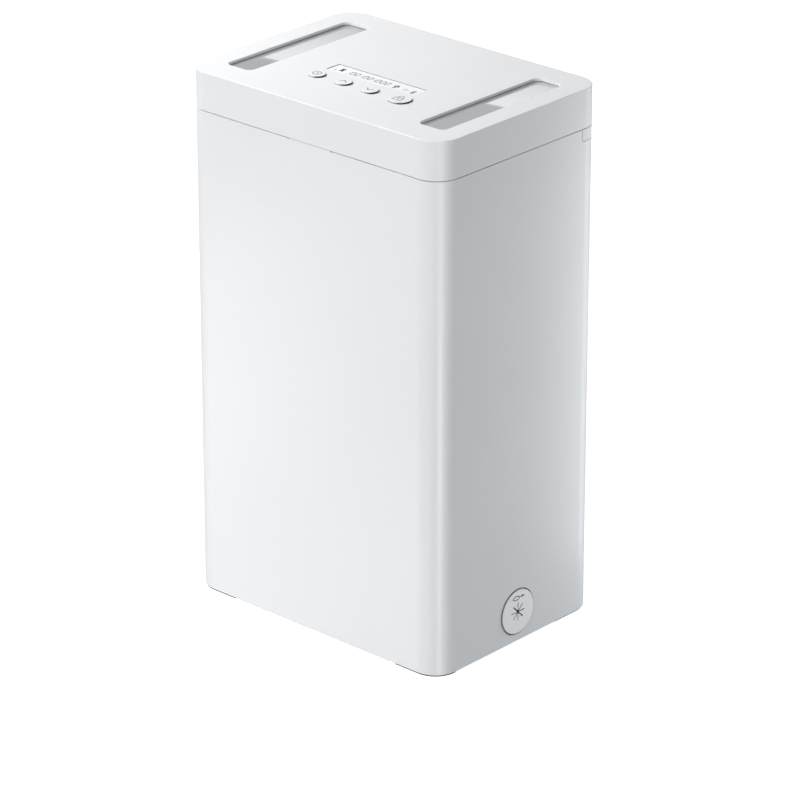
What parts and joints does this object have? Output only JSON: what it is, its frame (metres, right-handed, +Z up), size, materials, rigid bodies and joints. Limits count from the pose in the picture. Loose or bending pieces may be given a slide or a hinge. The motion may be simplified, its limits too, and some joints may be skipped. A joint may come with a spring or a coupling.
{
  "type": "timed lock container",
  "caption": "Tall white lock box with rounded upright edges, a hinged lid with window slots, a timer display, push buttons, a motorised bolt and a side cable grommet.",
  "frame": {"origin": "centre of the box's footprint, on the plane that the feet rest on", "axes": "+Z up, +X towards the side with the cable grommet, -Y towards the front, where the lid's latch is"},
  "size_m": [0.2106, 0.15, 0.3533],
  "materials": {
    "body_plastic": "fine spark-eroded texture",
    "lid_plastic": "satin",
    "inner_plastic": "satin",
    "button_plastic": "satin",
    "grommet_silicone": "satin",
    "foot_rubber": "matte",
    "pane_acrylic": "polished",
    "seal_foam": "matte",
    "lens_acrylic": "polished",
    "lcd_glass": "polished",
    "circuit_board": "satin",
    "switch_metal": "satin",
    "steel_zinc": "zinc plated",
    "pin_steel": "ground",
    "bolt_steel": "machined",
    "gear_brass": "cut",
    "motor_steel": "plated",
    "bracket_plastic": "satin",
    "cell_wrap": "gloss",
    "lead_insulation": "satin"
  },
  "bodies": {
    "base": {"body_shell": "body_plastic", "cable_grommet": "grommet_silicone", "foot_front_left": "foot_rubber", "foot_front_right": "foot_rubber", "foot_rear_left": "foot_rubber", "foot_rear_right": "foot_rubber", "strike_plate": "steel_zinc", "strike_screws": "steel_zinc"},
    "lid": {"lid_top_shell": "lid_plastic", "lid_base": "inner_plastic", "hinge_pin_left": "pin_steel", "hinge_pin_right": "pin_steel", "window_seal_left": "seal_foam", "window_seal_right": "seal_foam", "window_pane_left": "pane_acrylic", "window_pane_right": "pane_acrylic", "display_lens": "lens_acrylic", "lcd_module": "lcd_glass", "main_board": "circuit_board", "tact_switches": "switch_metal", "gear_motor": "motor_steel", "motor_clamp": "steel_zinc", "latch_cover": "bracket_plastic", "latch_screws": "steel_zinc", "lid_screws": "steel_zinc", "board_screws": "steel_zinc", "battery_cell": "cell_wrap", "battery_holder": "bracket_plastic", "charge_board": "circuit_board", "charge_socket": "switch_metal", "battery_leads": "lead_insulation", "motor_leads": "lead_insulation", "charge_leads": "lead_insulation"},
    "button_mode": {"button_mode": "button_plastic"},
    "button_up": {"button_up": "button_plastic"},
    "button_down": {"button_down": "button_plastic"},
    "button_lock": {"button_lock": "button_plastic"},
    "bolt": {"latch_bolt": "bolt_steel", "bolt_carriage": "bracket_plastic", "bolt_screws": "steel_zinc"},
    "pinion": {"latch_pinion": "gear_brass", "motor_shaft": "pin_steel"}
  },
  "joints": [
    {"name": "lid_hinge", "type": "hinge", "parent": "base", "child": "lid", "pos_m": [0, 0.0711, 0.3229], "axis": [-1, 0, 0], "range_deg": [0, 92]},
    {"name": "press_mode", "type": "slide", "parent": "lid", "child": "button_mode", "axis": [0, 0, -1], "range_m": [0, 0.00065], "stiffness_N_per_m": 500},
    {"name": "press_up", "type": "slide", "parent": "lid", "child": "button_up", "axis": [0, 0, -1], "range_m": [0, 0.00065], "stiffness_N_per_m": 500},
    {"name": "press_down", "type": "slide", "parent": "lid", "child": "button_down", "axis": [0, 0, -1], "range_m": [0, 0.00065], "stiffness_N_per_m": 500},
    {"name": "press_lock", "type": "slide", "parent": "lid", "child": "button_lock", "axis": [0, 0, -1], "range_m": [0, 0.00065], "stiffness_N_per_m": 500},
    {"name": "bolt_slide", "type": "slide", "parent": "lid", "child": "bolt", "axis": [0, -1, 0], "range_m": [0, 0.0055]},
    {"name": "pinion_spin", "type": "hinge", "parent": "lid", "child": "pinion", "pos_m": [0, -0.043, 0.3352], "axis": [-1, 0, 0], "range_deg": [-1, 106]}
  ],
  "couplings": [
    {"joint": "pinion_spin", "follows": "bolt_slide", "rad_per_m": 333.33}
  ]
}
